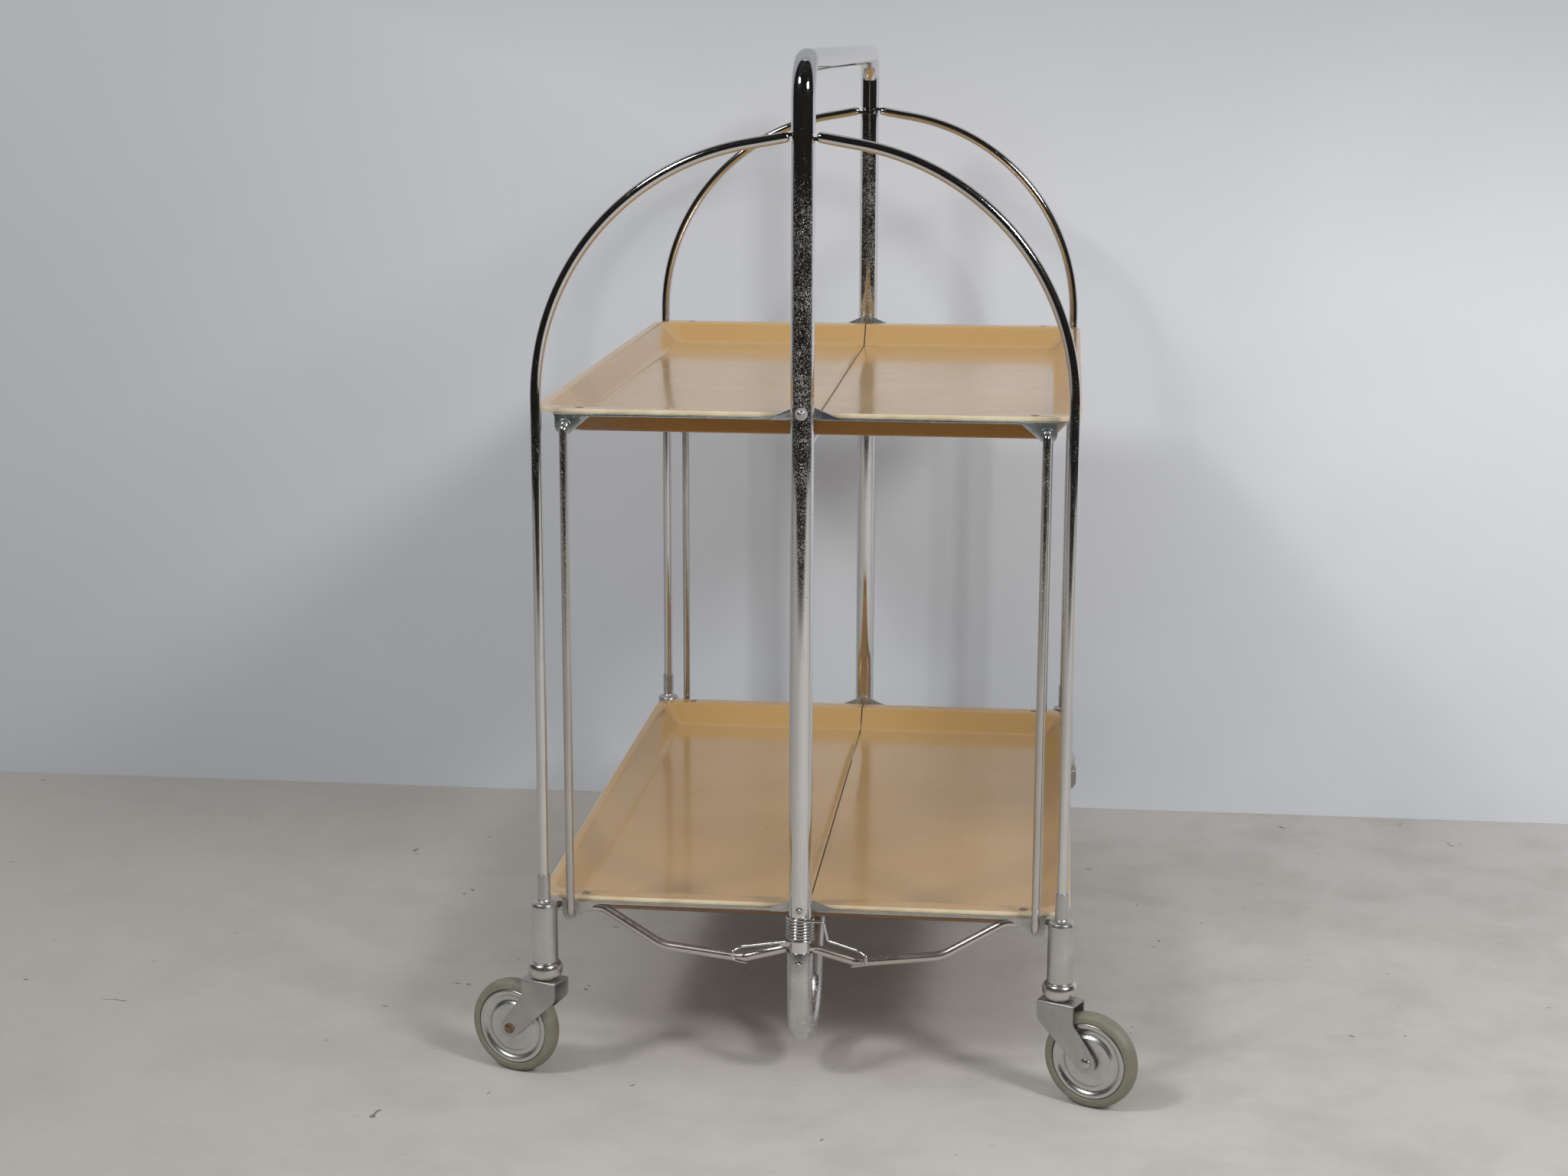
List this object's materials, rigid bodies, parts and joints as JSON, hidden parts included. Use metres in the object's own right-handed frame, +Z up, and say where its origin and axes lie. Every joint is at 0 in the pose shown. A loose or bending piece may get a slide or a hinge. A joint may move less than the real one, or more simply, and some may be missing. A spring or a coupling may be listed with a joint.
{
  "type": "folding tea trolley",
  "caption": "Folding tea trolley with upper and lower split trays on a chromed tube frame, hinged arched legs and swivel casters.",
  "frame": {"origin": "on the floor at the centre of the trolley", "axes": "+Z up, +Y along the trays from one post to the other, +X across the two tray halves"},
  "size_m": [0.4996, 0.6744, 0.757],
  "materials": {
    "handle_frame": "polished, pitted with age",
    "upper_crossbar": "polished",
    "lower_frame": "satin zinc",
    "frame_rivets": "satin",
    "tray_pivot_pins": "satin",
    "gate_hinge_pins": "satin",
    "hinge_plugs": "satin",
    "gate_springs": "bright wire",
    "tray": "satin moulded laminate",
    "brackets": "bright zinc",
    "screws": "brown enamel",
    "rod": "polished",
    "arch_leg": "polished",
    "caster_sleeve": "satin plated",
    "lower_rail": "polished",
    "caster_socket": "polished",
    "fork": "bright zinc",
    "stem": "satin",
    "axle": "tarnished",
    "tyre": "aged grey rubber",
    "wheel_rim": "bright pressed steel"
  },
  "bodies": {
    "frame": {"handle_frame": "handle_frame", "upper_crossbar": "upper_crossbar", "lower_frame": "lower_frame", "frame_rivets": "frame_rivets", "tray_pivot_pins": "tray_pivot_pins", "gate_hinge_pins": "gate_hinge_pins", "hinge_plugs": "hinge_plugs", "gate_springs": "gate_springs"},
    "upper_left_half": {"upper_left_tray": "tray", "upper_left_brackets": "brackets", "upper_left_screws": "screws"},
    "upper_right_half": {"upper_right_tray": "tray", "upper_right_brackets": "brackets", "upper_right_screws": "screws"},
    "lower_left_half": {"lower_left_tray": "tray", "lower_left_brackets": "brackets", "lower_left_screws": "screws"},
    "lower_right_half": {"lower_right_tray": "tray", "lower_right_brackets": "brackets", "lower_right_screws": "screws"},
    "near_left_link": {"near_left_rod": "rod"},
    "near_left_gate": {"near_left_arch_leg": "arch_leg", "near_left_caster_sleeve": "caster_sleeve", "near_left_lower_rail": "lower_rail", "near_left_caster_socket": "caster_socket"},
    "near_left_caster": {"near_left_fork": "fork", "near_left_stem": "stem", "near_left_axle": "axle"},
    "near_left_wheel": {"near_left_tyre": "tyre", "near_left_wheel_rim": "wheel_rim"},
    "near_right_link": {"near_right_rod": "rod"},
    "near_right_gate": {"near_right_arch_leg": "arch_leg", "near_right_caster_sleeve": "caster_sleeve", "near_right_lower_rail": "lower_rail", "near_right_caster_socket": "caster_socket"},
    "near_right_caster": {"near_right_fork": "fork", "near_right_stem": "stem", "near_right_axle": "axle"},
    "near_right_wheel": {"near_right_tyre": "tyre", "near_right_wheel_rim": "wheel_rim"},
    "far_left_link": {"far_left_rod": "rod"},
    "far_left_gate": {"far_left_arch_leg": "arch_leg", "far_left_caster_sleeve": "caster_sleeve", "far_left_lower_rail": "lower_rail", "far_left_caster_socket": "caster_socket"},
    "far_left_caster": {"far_left_fork": "fork", "far_left_stem": "stem", "far_left_axle": "axle"},
    "far_left_wheel": {"far_left_tyre": "tyre", "far_left_wheel_rim": "wheel_rim"},
    "far_right_link": {"far_right_rod": "rod"},
    "far_right_gate": {"far_right_arch_leg": "arch_leg", "far_right_caster_sleeve": "caster_sleeve", "far_right_lower_rail": "lower_rail", "far_right_caster_socket": "caster_socket"},
    "far_right_caster": {"far_right_fork": "fork", "far_right_stem": "stem", "far_right_axle": "axle"},
    "far_right_wheel": {"far_right_tyre": "tyre", "far_right_wheel_rim": "wheel_rim"}
  },
  "joints": [
    {"name": "upper_left_fold", "type": "hinge", "parent": "frame", "child": "upper_left_half", "pos_m": [0, 0, 0.506], "axis": [0, 1, 0], "range_deg": [0, 90]},
    {"name": "lower_left_fold", "type": "hinge", "parent": "frame", "child": "lower_left_half", "pos_m": [0, 0, 0.14], "axis": [0, 1, 0], "range_deg": [0, 90]},
    {"name": "near_left_link_pivot", "type": "hinge", "parent": "upper_left_half", "child": "near_left_link", "pos_m": [-0.172, -0.3, 0.492], "axis": [0, 1, 0], "range_deg": [-90, 0]},
    {"name": "far_left_link_pivot", "type": "hinge", "parent": "upper_left_half", "child": "far_left_link", "pos_m": [-0.172, 0.3, 0.492], "axis": [0, 1, 0], "range_deg": [-90, 0]},
    {"name": "upper_right_fold", "type": "hinge", "parent": "frame", "child": "upper_right_half", "pos_m": [0, 0, 0.506], "axis": [0, -1, 0], "range_deg": [0, 90]},
    {"name": "lower_right_fold", "type": "hinge", "parent": "frame", "child": "lower_right_half", "pos_m": [0, 0, 0.14], "axis": [0, -1, 0], "range_deg": [0, 90]},
    {"name": "near_right_link_pivot", "type": "hinge", "parent": "upper_right_half", "child": "near_right_link", "pos_m": [0.172, -0.3, 0.492], "axis": [0, -1, 0], "range_deg": [-90, 0]},
    {"name": "far_right_link_pivot", "type": "hinge", "parent": "upper_right_half", "child": "far_right_link", "pos_m": [0.172, 0.3, 0.492], "axis": [0, -1, 0], "range_deg": [-90, 0]},
    {"name": "near_left_gate_hinge", "type": "hinge", "parent": "frame", "child": "near_left_gate", "pos_m": [0, -0.306, 0.11], "axis": [0, 0, -1], "range_deg": [0, 1.5]},
    {"name": "near_left_swivel", "type": "hinge", "parent": "near_left_gate", "child": "near_left_caster", "pos_m": [-0.1908, -0.306, 0.1], "axis": [0, 0, 1], "continuous": true},
    {"name": "near_left_roll", "type": "hinge", "parent": "near_left_caster", "child": "near_left_wheel", "pos_m": [-0.2157, -0.29694, 0.036], "axis": [-0.342, -0.9397, 0], "continuous": true},
    {"name": "near_right_gate_hinge", "type": "hinge", "parent": "frame", "child": "near_right_gate", "pos_m": [0, -0.306, 0.11], "axis": [0, 0, 1], "range_deg": [0, 1.5], "deforming": ["gate_springs"]},
    {"name": "near_right_swivel", "type": "hinge", "parent": "near_right_gate", "child": "near_right_caster", "pos_m": [0.1908, -0.306, 0.1], "axis": [0, 0, 1], "continuous": true},
    {"name": "near_right_roll", "type": "hinge", "parent": "near_right_caster", "child": "near_right_wheel", "pos_m": [0.21482, -0.3172, 0.036], "axis": [0.4226, 0.9063, 0], "continuous": true},
    {"name": "far_left_gate_hinge", "type": "hinge", "parent": "frame", "child": "far_left_gate", "pos_m": [0, 0.306, 0.11], "axis": [0, 0, 1], "range_deg": [0, 1.5]},
    {"name": "far_left_swivel", "type": "hinge", "parent": "far_left_gate", "child": "far_left_caster", "pos_m": [-0.1908, 0.306, 0.1], "axis": [0, 0, 1], "continuous": true},
    {"name": "far_left_roll", "type": "hinge", "parent": "far_left_caster", "child": "far_left_wheel", "pos_m": [-0.21482, 0.3172, 0.036], "axis": [-0.4226, -0.9063, 0], "continuous": true},
    {"name": "far_right_gate_hinge", "type": "hinge", "parent": "frame", "child": "far_right_gate", "pos_m": [0, 0.306, 0.11], "axis": [0, 0, -1], "range_deg": [0, 1.5]},
    {"name": "far_right_swivel", "type": "hinge", "parent": "far_right_gate", "child": "far_right_caster", "pos_m": [0.1908, 0.306, 0.1], "axis": [0, 0, 1], "continuous": true},
    {"name": "far_right_roll", "type": "hinge", "parent": "far_right_caster", "child": "far_right_wheel", "pos_m": [0.16432, 0.30507, 0.036], "axis": [0.0349, -0.9994, 0], "continuous": true}
  ],
  "couplings": [
    {"joint": "lower_left_fold", "follows": "upper_left_fold", "ratio": 1},
    {"joint": "near_left_link_pivot", "follows": "upper_left_fold", "ratio": -1},
    {"joint": "far_left_link_pivot", "follows": "upper_left_fold", "ratio": -1},
    {"joint": "lower_right_fold", "follows": "upper_right_fold", "ratio": 1},
    {"joint": "near_right_link_pivot", "follows": "upper_right_fold", "ratio": -1},
    {"joint": "far_right_link_pivot", "follows": "upper_right_fold", "ratio": -1}
  ]
}
